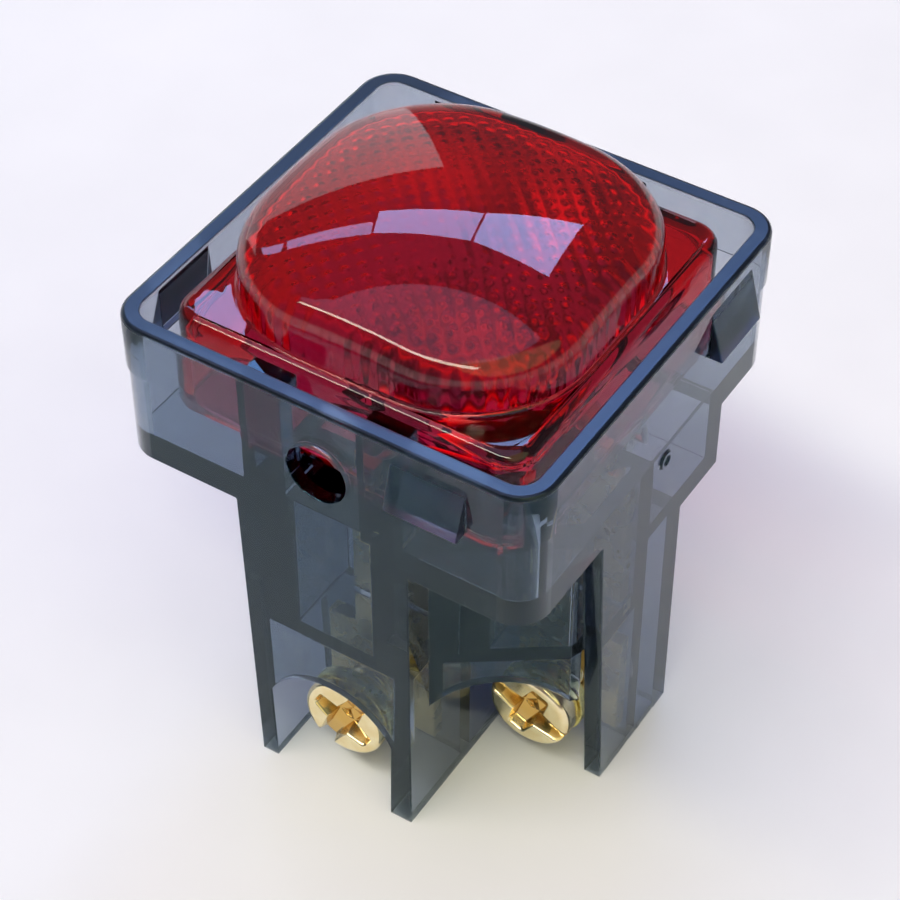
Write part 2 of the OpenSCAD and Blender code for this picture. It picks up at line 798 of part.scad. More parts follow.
// Solder round the two leads that meet beside the resistor
module lap_solder() {
  color(tin)
    translate([joint_x0, resistor_y, resistor_z])
      rotate([0, 90, 0])
        difference() {
          cylinder(d = sleeve_d, h = joint_len);
          translate([0, 0, -past])
            cylinder(d = lead_d + 2 * lead_gap, h = joint_len + 2 * past);
        }
}

// ---------- parts ----------

left_slot_turn = 61;
right_slot_turn = -25;

housing();
lens();
neon_glass();
neon_electrode(-1, front_path);  // neon_electrode_front
neon_electrode(1, back_path);  // neon_electrode_back
resistor_body();
translate([resistor_x0, resistor_y, resistor_z])  // resistor_cap_left
    resistor_cap();
translate([resistor_x1, resistor_y, resistor_z])  // resistor_cap_right
    mirror([1, 0, 0])
      resistor_cap();
bare_lead(left_lead_path);  // resistor_lead_left
bare_lead(right_lead_path);  // resistor_lead_right
sleeve(front_path[1], front_path[2]);  // sleeve_front
sleeve(back_path[3], back_path[4]);  // sleeve_back
tag_solder(left_shaft_x, left_strip_y);  // solder_joint_left
lap_solder();  // solder_joint_middle
tag_solder(right_shaft_x, right_strip_y);  // solder_joint_right
terminal(left_screw_x, left_shaft_x, left_seat_y);  // terminal_left
terminal(right_screw_x, right_shaft_x, right_seat_y);  // terminal_right
clamp_washer(left_screw_x, left_face_y);  // clamp_washer_left
clamp_washer(right_screw_x, right_face_y);  // clamp_washer_right
terminal_screw(left_screw_x, left_face_y, left_slot_turn);  // terminal_screw_left
terminal_screw(right_screw_x, right_face_y, right_slot_turn);  // terminal_screw_right
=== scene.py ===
# %% [markdown]
# # Panel pilot light
# The part is a small indicator module: a clear smoke-grey moulded housing, a domed red
# lens with prisms under its roof, a neon lamp with its resistor, and two brass screw
# terminals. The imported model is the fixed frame, and every cell below dresses one piece
# of it. All lengths are in metres, and +Z points towards the lens.

# %% Load the frame
import math
import bmesh
import bpy
import numpy as np
from mathutils import Matrix, Vector


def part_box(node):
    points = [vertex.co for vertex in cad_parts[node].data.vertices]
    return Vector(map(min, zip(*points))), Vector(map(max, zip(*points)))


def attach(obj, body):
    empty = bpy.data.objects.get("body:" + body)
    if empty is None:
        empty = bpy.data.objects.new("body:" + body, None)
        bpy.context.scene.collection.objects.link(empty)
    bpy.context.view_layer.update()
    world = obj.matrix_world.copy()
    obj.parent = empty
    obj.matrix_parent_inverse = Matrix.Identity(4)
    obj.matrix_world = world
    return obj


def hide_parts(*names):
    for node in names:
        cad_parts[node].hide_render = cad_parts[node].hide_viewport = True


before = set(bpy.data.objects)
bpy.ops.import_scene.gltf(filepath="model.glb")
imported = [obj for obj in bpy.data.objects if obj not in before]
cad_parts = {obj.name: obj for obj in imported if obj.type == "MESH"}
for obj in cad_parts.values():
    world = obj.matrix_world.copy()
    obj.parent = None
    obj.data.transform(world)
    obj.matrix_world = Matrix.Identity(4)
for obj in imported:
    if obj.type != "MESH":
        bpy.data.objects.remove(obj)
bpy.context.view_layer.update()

MM = 0.001
scene = bpy.context.scene

# %% [markdown]
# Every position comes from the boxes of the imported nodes. The housing gives the height of
# the rim and the side walls, and the lens gives the skirt's size and the crown's height.
# The housing's box reaches over its snap wedges, so the wall lies a wedge's depth inside it.

# %% Measure the frame
house_low, house_high = (np.array(v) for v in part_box("housing"))
lens_low, lens_high = (np.array(v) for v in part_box("lens"))
rim_z = house_high[2]
crown_z = lens_high[2]
skirt_half = lens_high[0]
skirt_foot = lens_low[2]
wedge_depth = 1.2 * MM
wall_half = house_high[0] - wedge_depth
print("rim", rim_z, "crown", crown_z, "skirt half", skirt_half, "wall half", wall_half)

# %% [markdown]
# The camera looks down at the front corner through a long lens, which keeps upright edges
# nearly parallel. Its place is given from the middle of the rim, so it stays right if the
# module is taller or shorter.

# %% Camera
rim_middle = Vector((0.0, 0.0, rim_z))
camera_place = rim_middle + Vector((78.41, -122.91, 124.31)) * MM
look_at = rim_middle + Vector((10.26, -16.31, 0.0)) * MM
camera_data = bpy.data.cameras.new("camera")
camera = bpy.data.objects.new("camera", camera_data)
scene.collection.objects.link(camera)
camera.location = camera_place
camera.rotation_euler = (look_at - camera_place).to_track_quat("-Z", "Y").to_euler()
camera_data.lens = 103.97
camera_data.sensor_width = 36.0
camera_data.clip_start = 0.01
camera_data.clip_end = 20.0
scene.camera = camera
print("camera at", tuple(round(v, 4) for v in camera_place))

# %% [markdown]
# Clear parts inside clear parts need long light paths: a ray crosses a dozen faces
# between the camera and the floor. With fewer bounces the middle would go black. Plain
# surfaces need only two or so, and with few lamps it is quicker to sample them all than
# to pick them from a light tree.

# %% Colour handling and light paths
scene.view_settings.view_transform = "Standard"
scene.cycles.max_bounces = 13
scene.cycles.transmission_bounces = 13
scene.cycles.transparent_max_bounces = 16
scene.cycles.glossy_bounces = 6
scene.cycles.diffuse_bounces = 2
scene.cycles.use_light_tree = False
print("bounces", scene.cycles.max_bounces)

# %% [markdown]
# ## Materials
# One helper makes an empty material with its output and a Principled shader, one adds a
# node and sets its plain inputs, and one makes a mask that rises from 0 to 1 between two
# values. Each finish is then a short list of nodes.


# %% Node helpers
def new_material(name):
    """Node material with a bare shader; gives the material, its tree, shader and output."""
    material = bpy.data.materials.new(name)
    material.use_nodes = True
    tree = material.node_tree
    tree.nodes.clear()
    output = tree.nodes.new("ShaderNodeOutputMaterial")
    shader = tree.nodes.new("ShaderNodeBsdfPrincipled")
    tree.links.new(shader.outputs["BSDF"], output.inputs["Surface"])
    return material, tree, shader, output


def add_node(tree, kind, **values):
    """A new node; values whose names are inputs go to those sockets, others to the node."""
    node = tree.nodes.new(kind)
    for name, value in values.items():
        label = name.replace("_", " ")
        if label in node.inputs:
            node.inputs[label].default_value = value
        else:
            setattr(node, name, value)
    return node


def rising_mask(tree, value, low, high, most=1.0):
    """Socket that is 0 where value is below low, and most where it is above high."""
    node = add_node(tree, "ShaderNodeMapRange", From_Min=low, From_Max=high, To_Max=most)
    tree.links.new(value, node.inputs["Value"])
    return node.outputs["Result"]


print("helpers ready")

# %% [markdown]
# Moulded plastic and brass both show faint unevenness, because polish varies a little from
# place to place. One node group, used by every finish, makes a roughness that wanders
# between two values, a mask for the tone and a fine bump, all from one noise.


# %% Shared surface unevenness
def make_wander_group():
    """Group: value = low + (high - low) * noise, and a normal bumped by the same noise."""
    group = bpy.data.node_groups.new("surface_wander", "ShaderNodeTree")
    face = group.interface
    for name, value in (("Scale", 800.0), ("Low", 0.05), ("High", 0.15), ("Bump", 0.05)):
        socket = face.new_socket(name, in_out="INPUT", socket_type="NodeSocketFloat")
        socket.default_value = value
    face.new_socket("Roughness", in_out="OUTPUT", socket_type="NodeSocketFloat")
    face.new_socket("Mask", in_out="OUTPUT", socket_type="NodeSocketFloat")
    face.new_socket("Normal", in_out="OUTPUT", socket_type="NodeSocketVector")
    start = group.nodes.new("NodeGroupInput")
    end = group.nodes.new("NodeGroupOutput")
    place = group.nodes.new("ShaderNodeTexCoord")
    noise = add_node(group, "ShaderNodeTexNoise", Detail=2.0, Roughness=0.55)
    spread = add_node(group, "ShaderNodeMapRange", From_Min=0.3, From_Max=0.7)
    bump = add_node(group, "ShaderNodeBump", Distance=0.00005)
    link = group.links.new
    link(place.outputs["Object"], noise.inputs["Vector"])
    link(start.outputs["Scale"], noise.inputs["Scale"])
    link(noise.outputs["Fac"], spread.inputs["Value"])
    link(start.outputs["Low"], spread.inputs["To Min"])
    link(start.outputs["High"], spread.inputs["To Max"])
    link(noise.outputs["Fac"], bump.inputs["Height"])
    link(start.outputs["Bump"], bump.inputs["Strength"])
    link(spread.outputs["Result"], end.inputs["Roughness"])
    link(noise.outputs["Fac"], end.inputs["Mask"])
    link(bump.outputs["Normal"], end.inputs["Normal"])
    return group


wander = make_wander_group()


def add_wander(tree, shader, scale, low, high, bump):
    """Places the wander group, feeds roughness and normal, and gives back its mask."""
    node = tree.nodes.new("ShaderNodeGroup")
    node.node_tree = wander
    for name, value in (("Scale", scale), ("Low", low), ("High", high), ("Bump", bump)):
        node.inputs[name].default_value = value
    tree.links.new(node.outputs["Roughness"], shader.inputs["Roughness"])
    tree.links.new(node.outputs["Normal"], shader.inputs["Normal"])
    return node.outputs["Mask"]


def add_tint(tree, shader, mask, low, high):
    """Base Color that goes from one tone to another with the mask."""
    ramp = tree.nodes.new("ShaderNodeValToRGB")
    for stop, position, tone in zip(ramp.color_ramp.elements, (0.3, 0.7), (low, high)):
        stop.position = position
        stop.color = (*tone, 1)
    tree.links.new(mask, ramp.inputs["Fac"])
    tree.links.new(ramp.outputs["Color"], shader.inputs["Base Color"])


print("group sockets:", [s.name for s in wander.interface.items_tree])

# %% [markdown]
# Clear plastic is a closed solid with a glass-like skin. Its tint lives in the volume:
# light loses a share of its colour on each millimetre, so thin walls look pale grey and
# the thick rim goes dark by itself. Shadow rays pass straight through a tinted
# Transparent shader, because a path tracer can't find a lamp through bent glass. A
# roughness below zero counts as zero, so much of a moulded skin is perfectly smooth.


# %% Clear plastic
def clear_plastic(name, tint_low, tint_high, taken_per_mm, index, wander_values, lamp_tint):
    """Glass-like skin over a volume: each colour fades as exp(-taken_per_mm * millimetres).

    wander_values are the noise's scale, the lowest and highest roughness, and the bump.
    """
    material, tree, shader, output = new_material(name)
    shader.inputs["Transmission Weight"].default_value = 1.0
    shader.inputs["IOR"].default_value = index
    add_tint(tree, shader, add_wander(tree, shader, *wander_values), tint_low, tint_high)
    volume = tree.nodes.new("ShaderNodeVolumeAbsorption")
    most = max(taken_per_mm)
    volume.inputs["Density"].default_value = most / MM
    volume.inputs["Color"].default_value = (*[1 - t / most for t in taken_per_mm], 1)
    tree.links.new(volume.outputs["Volume"], output.inputs["Volume"])
    lamp_pass = add_node(tree, "ShaderNodeBsdfTransparent", Color=(*lamp_tint, 1))
    ray = tree.nodes.new("ShaderNodeLightPath")
    mix = tree.nodes.new("ShaderNodeMixShader")
    tree.links.new(ray.outputs["Is Shadow Ray"], mix.inputs["Fac"])
    tree.links.new(shader.outputs["BSDF"], mix.inputs[1])
    tree.links.new(lamp_pass.outputs["BSDF"], mix.inputs[2])
    tree.links.new(mix.outputs["Shader"], output.inputs["Surface"])
    return material, tree, shader


def add_satin(tree, shader, mask, satin_roughness):
    """Blends the wandering roughness towards a satin value where the mask is 1."""
    rough = shader.inputs["Roughness"]
    blend = add_node(tree, "ShaderNodeMapRange", To_Max=satin_roughness)
    tree.links.new(rough.links[0].from_socket, blend.inputs["To Min"])
    tree.links.new(mask, blend.inputs["Value"])
    tree.links.new(blend.outputs["Result"], rough)


print("clear plastic ready")

# %% [markdown]
# The housing's smoke plastic is polished, but its rim is satin, and so are the faces of
# the snap wedges. Both are found by place: the rim is high, and the wedges stand out past
# the walls. The rim also gets some clear coat, which catches a soft light along its top.
# Reflections on the dark plastic look blue, which Specular Tint gives.


# %% Smoke plastic of the housing
def smoke_plastic():
    """Smoke-grey clear plastic with a satin rim and satin wedges."""
    material, tree, shader = clear_plastic(
        "smoke_clear_plastic", tint_low=(0.93, 0.93, 0.96), tint_high=(0.97, 0.97, 0.99),
        taken_per_mm=(0.52, 0.44, 0.36), index=1.52,
        wander_values=(900.0, -0.05, 0.05, 0.05), lamp_tint=(0.85, 0.86, 0.88))
    place = tree.nodes.new("ShaderNodeTexCoord")
    split = tree.nodes.new("ShaderNodeSeparateXYZ")
    tree.links.new(place.outputs["Object"], split.inputs["Vector"])
    on_rim = rising_mask(tree, split.outputs["Z"], rim_z - 0.6 * MM, rim_z - 0.3 * MM)
    furthest = add_node(tree, "ShaderNodeMath", operation="MAXIMUM")
    satin = add_node(tree, "ShaderNodeMath", operation="MAXIMUM")
    for k, side in enumerate(("X", "Y")):
        beside = add_node(tree, "ShaderNodeMath", operation="ABSOLUTE")
        tree.links.new(split.outputs[side], beside.inputs[0])
        tree.links.new(beside.outputs["Value"], furthest.inputs[k])
    on_wedge = rising_mask(tree, furthest.outputs["Value"],
                           wall_half + 0.05 * MM, wall_half + 0.15 * MM)
    tree.links.new(on_rim, satin.inputs[0])
    tree.links.new(on_wedge, satin.inputs[1])
    add_satin(tree, shader, satin.outputs["Value"], satin_roughness=0.28)
    shader.inputs["Specular Tint"].default_value = (0.38, 0.74, 0.92, 1)
    shader.inputs["Coat Roughness"].default_value = 0.2
    shader.inputs["Coat IOR"].default_value = 1.6
    coat = rising_mask(tree, on_rim, 0.0, 1.0, most=0.3)
    tree.links.new(coat, shader.inputs["Coat Weight"])
    return material


smoke_clear = smoke_plastic()
print("housing finish:", smoke_clear.name)

# %% [markdown]
# The lens is red plastic that lets red pass and stops most green and blue within
# a millimetre. Its outside is polished. The inside of its dome is slightly frosted, which
# spreads the lamp's light, and the lens's mesh says where in a point attribute, frost.


# %% Red plastic of the lens
def red_plastic():
    """Red clear plastic, frosted where the mesh's frost attribute is 1."""
    material, tree, shader = clear_plastic(
        "red_clear_plastic", tint_low=(0.97, 0.9, 0.9), tint_high=(1.0, 0.94, 0.94),
        taken_per_mm=(0.03, 2.7, 1.6), index=1.5,
        wander_values=(500.0, -0.02, 0.02, 0.02), lamp_tint=(0.95, 0.85, 0.85))
    frosted = add_node(tree, "ShaderNodeAttribute", attribute_name="frost")
    add_satin(tree, shader, frosted.outputs["Fac"], satin_roughness=0.22)
    return material


red_clear = red_plastic()
print("lens finish:", red_clear.name)

# %% [markdown]
# The terminals are brass: pressed strip, slightly dull, and bright turned screws. Metal
# takes its colour from reflection, so Metallic is 1 and the tone wanders between a pale
# and a deeper gold.


# %% Brass and the small metals
def plain_finish(name, low, high, wander_values, metallic=1.0):
    """Opaque finish whose tone goes from low to high with the wander mask."""
    material, tree, shader, _ = new_material(name)
    shader.inputs["Metallic"].default_value = metallic
    add_tint(tree, shader, add_wander(tree, shader, *wander_values), low, high)
    return material, tree, shader


washer_brass, strip_brass, tinned_wire, solder_metal, cap_steel = (
    plain_finish(name, low, high, wander_values)[0] for name, low, high, wander_values in (
        ("washer_brass", (0.60, 0.56, 0.20), (0.78, 0.70, 0.32), (700.0, 0.18, 0.34, 0.08)),
        ("strip_brass", (0.74, 0.57, 0.26), (0.82, 0.65, 0.32), (500.0, 0.22, 0.34, 0.04)),
        ("tinned_wire", (0.62, 0.62, 0.60), (0.80, 0.80, 0.78), (1500.0, 0.25, 0.45, 0.2)),
        ("solder", (0.60, 0.61, 0.63), (0.84, 0.85, 0.86), (1200.0, 0.15, 0.4, 0.4)),
        ("cap_steel", (0.52, 0.52, 0.50), (0.70, 0.70, 0.68), (1500.0, 0.2, 0.4, 0.15)),
    ))
print("metals ready")

# %% [markdown]
# Light that falls into a screw's recess bounces between its walls and comes out a deeper
# gold. The screw's mesh holds the recess's depth in a point attribute called cavity, and
# the finish mixes towards that deeper tone.


# %% Brass of the screws
def screw_finish():
    """Bright brass that deepens where the mesh's cavity attribute is 1."""
    material, tree, shader = plain_finish(
        "screw_brass", (0.86, 0.70, 0.36), (0.98, 0.88, 0.58), (700.0, 0.10, 0.26, 0.15))
    colour = shader.inputs["Base Color"]
    sunk = add_node(tree, "ShaderNodeAttribute", attribute_name="cavity")
    mix = add_node(tree, "ShaderNodeMix", data_type="RGBA")
    mix.inputs["B"].default_value = (0.66, 0.42, 0.12, 1)
    tree.links.new(sunk.outputs["Fac"], mix.inputs["Factor"])
    tree.links.new(colour.links[0].from_socket, mix.inputs["A"])
    tree.links.new(mix.outputs["Result"], colour)
    return material


screw_brass = screw_finish()
print("screw finish:", screw_brass.name)

# %% [markdown]
# Under the lens lie a neon lamp of thin clear glass and a resistor, painted blue-green,
# with pale sleeves over its long leads. They show only dimly through the housing.

# %% Lamp glass, lacquer and sleeve
lamp_glass = clear_plastic(
    "lamp_glass", tint_low=(0.96, 0.97, 0.97), tint_high=(1.0, 1.0, 1.0),
    taken_per_mm=(0.002, 0.001, 0.002), index=1.5,
    wander_values=(600.0, 0.0, 0.02, 0.03), lamp_tint=(0.96, 0.96, 0.96))[0]
resistor_lacquer, sleeve_plastic = (
    plain_finish(name, low, high, wander_values, 0.0)[0] for name, low, high, wander_values in (
        ("resistor_lacquer", (0.16, 0.30, 0.34), (0.22, 0.38, 0.42), (900.0, 0.2, 0.4, 0.2)),
        ("sleeve_plastic", (0.72, 0.66, 0.50), (0.84, 0.79, 0.64), (1100.0, 0.4, 0.6, 0.2)),
    ))
print("small finishes ready")

# %% [markdown]
# ## Shapes
# A new piece is a mesh made from whole numpy arrays. Helpers turn a grid of points into
# faces and put them into an object at the origin, with its place in its mesh.


# %% Mesh helpers
sharp_angle = math.radians(30)


def mesh_object(name, points, faces):
    """Smooth-shaded object at the origin from an array of points and a list of faces."""
    mesh = bpy.data.meshes.new(name)
    mesh.from_pydata(points.tolist(), [], faces)
    mesh.update()
    mesh.polygons.foreach_set("use_smooth", np.full(len(mesh.polygons), True))
    piece = bpy.data.objects.new(name, mesh)
    scene.collection.objects.link(piece)
    return piece


def grid_faces(rows, columns, start=0):
    """Quads of a grid whose columns close on themselves, as an array of indices."""
    r, c = np.meshgrid(np.arange(rows - 1), np.arange(columns), indexing="ij")
    a = start + r * columns + c
    b = start + r * columns + (c + 1) % columns
    return np.stack([a, b, b + columns, a + columns], -1).reshape(-1, 4)


def fan_faces(first, columns, tip):
    """Triangles from each step of a closed row, whose first point is first, to one point."""
    around = np.arange(columns)
    return np.stack([first + around, first + (around + 1) % columns, 0 * around + tip], -1)


def merged_copy(node):
    """bmesh of a CAD node with its loose triangles merged and flat faces joined."""
    bm = bmesh.new()
    bm.from_mesh(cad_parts[node].data)
    bmesh.ops.remove_doubles(bm, verts=bm.verts, dist=1e-7)
    bmesh.ops.dissolve_limit(bm, angle_limit=math.radians(0.5), verts=bm.verts, edges=bm.edges)
    return bm


def finish_piece(piece, material, body, node):
    """Gives a piece its finish and body, and hides the CAD node it stands in for."""
    piece.data.materials.clear()
    piece.data.materials.append(material)
    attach(piece, body)
    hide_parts(node)
    print(piece.name, "faces", len(piece.data.polygons))


def from_bmesh(bm, name):
    """Object at the origin from a bmesh."""
    mesh = bpy.data.meshes.new(name)
    bm.to_mesh(mesh)
    bm.free()
    piece = bpy.data.objects.new(name, mesh)
    scene.collection.objects.link(piece)
    return piece


def edge_bevel(piece, width):
    """Rounds every edge sharper than sharp_angle by a Bevel modifier in three steps."""
    bevel = piece.modifiers.new("edge_rounding", "BEVEL")
    bevel.width = width
    bevel.segments = 3
    bevel.limit_method = "ANGLE"
    bevel.angle_limit = sharp_angle
    bevel.harden_normals = False
    # clamping would shrink every round to the shortest step of the nearest arc
    bevel.use_clamp_overlap = False
    return bevel


print("mesh helpers ready")

# %% [markdown]
# ## Housing
# One moulding: its walls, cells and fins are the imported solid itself. A real mould never
# leaves a knife edge, so a merged copy gets every sharp edge rounded. A Bevel modifier
# reads how far from each edge's weight: a third of a millimetre along the outside of the
# rim, where a finger meets it, and a tenth elsewhere. The rounded rim is what draws the
# light line along the frame.

# %% Housing with rounded edges
rim_round, plain_share = 0.35 * MM, 0.3


def edge_weight(edge):
    """1 on the rim's outer edges, plain_share on other sharp edges, 0 on flat ones."""
    if len(edge.link_faces) != 2 or edge.calc_face_angle(0) <= sharp_angle:
        return 0.0
    at_top = min(v.co.z for v in edge.verts) > rim_z - 0.01 * MM
    middle = (edge.verts[0].co + edge.verts[1].co) / 2
    faces_out = any(f.normal.xy.dot(middle.xy) > 1 * MM for f in edge.link_faces)
    return 1.0 if at_top and faces_out else plain_share


housing_mesh = merged_copy("housing")
softness = housing_mesh.edges.layers.float.new("bevel_weight_edge")
for edge in housing_mesh.edges:
    edge[softness] = edge_weight(edge)
clear_housing = from_bmesh(housing_mesh, "clear_housing")
rounding = edge_bevel(clear_housing, rim_round)
rounding.limit_method = "WEIGHT"
rounding.miter_outer = "MITER_ARC"
finish_piece(clear_housing, smoke_clear, "body", "housing")

# %% [markdown]
# ## Lens
# One moulding with an outside and an inside skin. Both are a profile carried round a
# square with round corners: up the skirt, in over the shoulder, up the dome's wall and
# across a sphere. A subdivided box would pull in its corners, and this way each radius
# is a number. Every row of points is one such square, smaller towards the middle.


# %% Rounded square path
def rounded_square(half, radius, side_points=45, corner_points=75):
    """Points and outward directions round squares, one for each half side and radius.

    A side is a straight run, and a corner is radius * (cos a, sin a) about its own middle.
    The other three sides are the first one turned by quarter turns.
    """
    half, radius = np.asarray(half, float)[..., None], np.asarray(radius, float)[..., None]
    s = np.linspace(-1, 1, side_points, endpoint=False)
    a = np.linspace(0, np.pi / 2, corner_points, endpoint=False)
    x = np.concatenate([half + 0 * s, half - radius + radius * np.cos(a)], -1)
    y = np.concatenate([(half - radius) * s, half - radius + radius * np.sin(a)], -1)
    out_x = np.broadcast_to(np.concatenate([1 + 0 * s, np.cos(a)]), x.shape)
    out_y = np.broadcast_to(np.concatenate([0 * s, np.sin(a)]), x.shape)
    turned = [(x, y, out_x, out_y), (-y, x, -out_y, out_x), (-x, -y, -out_x, -out_y),
              (y, -x, out_y, -out_x)]
    return [np.concatenate([t[k] for t in turned], -1) for k in range(4)]


shoulder_z = rim_z - 0.2 * MM
skirt_wall, shoulder_wall, dome_wall, roof_wall = 1.3 * MM, 1.5 * MM, 1.4 * MM, 1.7 * MM
dome_half = skirt_half - 1.0 * MM
dome_radius = 10.0 * MM
print("points in a ring", rounded_square(dome_half, dome_radius)[0].shape)

# %% [markdown]
# The dome's rows can't come from a plain list of heights: its roof is a sphere, so a
# point's height depends on where it is on its square. A quarter round joins roof and wall.


# %% Profile rows
def rows_of(profile):
    """Skin rows from (half side, corner radius, height) triples."""
    rows = np.array(profile)
    x, y, out_x, out_y = rounded_square(rows[:, 0], rows[:, 1])
    return x, y, np.broadcast_to(rows[:, 2:], x.shape).copy(), out_x, out_y


def sphere_height(x, y, top, radius):
    """Height of a sphere whose highest point is top: root of radius^2 - x^2 - y^2 over its centre."""
    return top - radius + np.sqrt(radius**2 - x**2 - y**2)


def dome_rows(half, radius, round_over, top, sphere_radius, count):
    """Rows from the wall's upper end to the middle: a quarter round, then the sphere.

    A row d inside the wall lies under the sphere by r - sqrt(r^2 - (r - d)^2) while d is
    less than the quarter round's radius r, and on the sphere after that.
    """
    turn = np.linspace(0, np.pi / 2, 12)
    across_roof = np.linspace(round_over, half, count)[1:-1]
    d = np.concatenate([round_over * (1 - np.cos(turn)), across_roof])
    row_half = half - d
    x, y, out_x, out_y = rounded_square(row_half, radius * row_half / half)
    to_go = np.maximum(round_over - d, 0)
    drop = round_over - np.sqrt(np.maximum(round_over**2 - to_go**2, 0))
    return x, y, sphere_height(x, y, top, sphere_radius) - drop[:, None], out_x, out_y


def joined(*parts):
    """Sets of rows put after one another."""
    return [np.concatenate([p[k] for p in parts]) for k in range(5)]


print("profile helpers ready")


# %% Outside skin
def lens_outside():
    """Skirt, rounded shoulder edge, small fillet at the dome's foot, then the dome.

    The round and the fillet are quarter circles: radius * (1 - cos t) in, radius * sin t up.
    """
    soft, fillet, skirt_corner, shoulder_corner = 0.9 * MM, 0.35 * MM, 2.5 * MM, 2.2 * MM
    quarter = np.linspace(0, np.pi / 2, 7)
    side = np.linspace(skirt_foot, shoulder_z - soft, 5)[:-1]
    skirt = [(skirt_half, skirt_corner, z) for z in side]
    edge = [(skirt_half - soft * (1 - np.cos(t)), skirt_corner - 0.9 * soft * (1 - np.cos(t)),
             shoulder_z - soft + soft * np.sin(t)) for t in quarter]
    start, end = skirt_half - soft, dome_half + fillet
    shoulder = [(start + (end - start) * t,
                 shoulder_corner + (dome_radius + fillet - shoulder_corner) * t, shoulder_z)
                for t in np.linspace(0, 1, 5)[1:-1]]
    foot = [(dome_half + fillet * (1 - np.sin(t)), dome_radius + fillet * (1 - np.sin(t)),
             shoulder_z + fillet * (1 - np.cos(t))) for t in quarter]
    return joined(rows_of(skirt + edge + shoulder + foot),
                  dome_rows(dome_half, dome_radius, 1.5 * MM, crown_z, 50 * MM, 24))


outer = lens_outside()
print("outside rows", outer[0].shape, "top", outer[2].max())

# %% [markdown]
# The inside carries what makes such a lens glow evenly: upright flutes round the dome's
# wall, and small pits at the crossings of a diagonal grid under the roof. Both are added
# to the skin's points as waves and dimples, so they are real form and not just bump.


# %% Inside skin
flute_count, flute_depth = 58, 0.14 * MM
pit_pitch, pit_width, ripple_height = 1.2 * MM, 0.2 * MM, 0.02 * MM


def flutes(x, y, fade):
    """Even wave round the wall: depth / 2 * (1 - cos(2 pi * count * way round))."""
    step = np.hypot(np.diff(x[0], append=x[0, :1]), np.diff(y[0], append=y[0, :1]))
    way = np.cumsum(step) / step.sum()
    return flute_depth / 2 * (1 - np.cos(2 * np.pi * flute_count * way)) * fade


def pits(x, y):
    """Gaussian dimples on a grid turned by 45 degrees, shallower in the middle, and a ripple."""
    u, v = (x + y) / math.sqrt(2), (x - y) / math.sqrt(2)
    du, dv = ((w + pit_pitch / 2) % pit_pitch - pit_pitch / 2 for w in (u, v))
    depth = (0.03 + 0.12 * np.clip((np.hypot(x, y) - 4 * MM) / (7 * MM), 0, 1)) * MM
    dimple = depth * np.exp(-(du**2 + dv**2) / (2 * pit_width**2))
    return dimple + ripple_height * np.cos(2 * np.pi * u / pit_pitch)


def lens_inside():
    """Skirt's hollow, the shoulder's underside, then the fluted wall and pitted roof.

    Flutes push a point in along its outward direction, and pits lift it into the roof.
    """
    half, radius = dome_half - dome_wall, dome_radius - dome_wall
    under, room, corner = shoulder_z - shoulder_wall, skirt_half - skirt_wall, 1.2 * MM
    hollow = [(room, corner, z) for z in np.linspace(skirt_foot, under, 6)]
    ledge = [(room + (half - room) * t, corner + (radius - corner) * t, under)
             for t in np.linspace(0, 1, 5)[1:]]
    x, y, z, out_x, out_y = dome_rows(half, radius, 0.7 * MM, crown_z - roof_wall, 42 * MM, 100)
    # the flutes die out 1.2 mm in from the wall, where the pits take over
    inside = half - np.maximum(abs(x), abs(y)).max(1)
    fade = np.clip(1 - inside / (1.2 * MM), 0, 1)[:, None]
    wave = flutes(x, y, fade)
    x, y = x - out_x * wave, y - out_y * wave
    dome = (x, y, z + pits(x, y) * (1 - fade), out_x, out_y)
    return joined(rows_of(hollow + ledge), dome)


inner = lens_inside()
print("inside rows", inner[0].shape, "roof", inner[2].max())

# %% [markdown]
# The two skins meet round the skirt's foot, and one point closes each skin's middle. The
# inner skin's faces run the other way round, so that they too point out of the plastic.


# %% Lens from its two skins
def closed_shell(first, second, first_top, second_top):
    """Closed mesh: first skin up, second skin down inside it, joined along row 0."""
    a, b = (np.stack(skin[:3], -1) for skin in (first, second))
    (rows_a, columns), rows_b = a.shape[:2], b.shape[0]
    start, tip = a[..., 0].size, a[..., 0].size + b[..., 0].size
    tops = [[0, 0, first_top], [0, 0, second_top]]
    points = np.concatenate([a.reshape(-1, 3), b.reshape(-1, 3), tops])
    around = np.arange(columns)
    after = (around + 1) % columns
    parts = (grid_faces(rows_a, columns), grid_faces(rows_b, columns, start)[:, ::-1],
             np.stack([around + start, after + start, after, around], -1),
             fan_faces((rows_a - 1) * columns, columns, tip),
             fan_faces(start + (rows_b - 1) * columns, columns, tip + 1)[:, [1, 0, 2]])
    return points, sum((part.tolist() for part in parts), [])


lens_points, lens_faces = closed_shell(outer, inner, crown_z, inner[2][-1].mean())
red_lens = mesh_object("red_lens", lens_points, lens_faces)
frost = np.zeros(len(lens_points))
inside = np.arange(outer[0].size, len(lens_points) - 2)
frost[inside] = np.clip((lens_points[inside, 2] - shoulder_z) / (2 * MM), 0, 1)
frost[-1] = 1
red_lens.data.attributes.new("frost", "FLOAT", "POINT").data.foreach_set("value", frost)
finish_piece(red_lens, red_clear, "body", "lens")


# %% [markdown]
# ## Screws
# A turned head with a slot cut right across and a cross recess in its middle, then
# a shank with a rolled thread. The whole screw is one profile turned about its axis, with
# the recess as depth over the face and the thread as a helical wave on the shank. Cutting
# the recess with a boolean would leave knife edges, and this way its walls are soft.


# %% Recess of a screw
def smooth_step(low, high, value):
    """0 below low, 1 above high, and the S curve 3 t^2 - 2 t^3 between."""
    t = np.clip((value - low) / (high - low), 0, 1)
    return t * t * (3 - 2 * t)


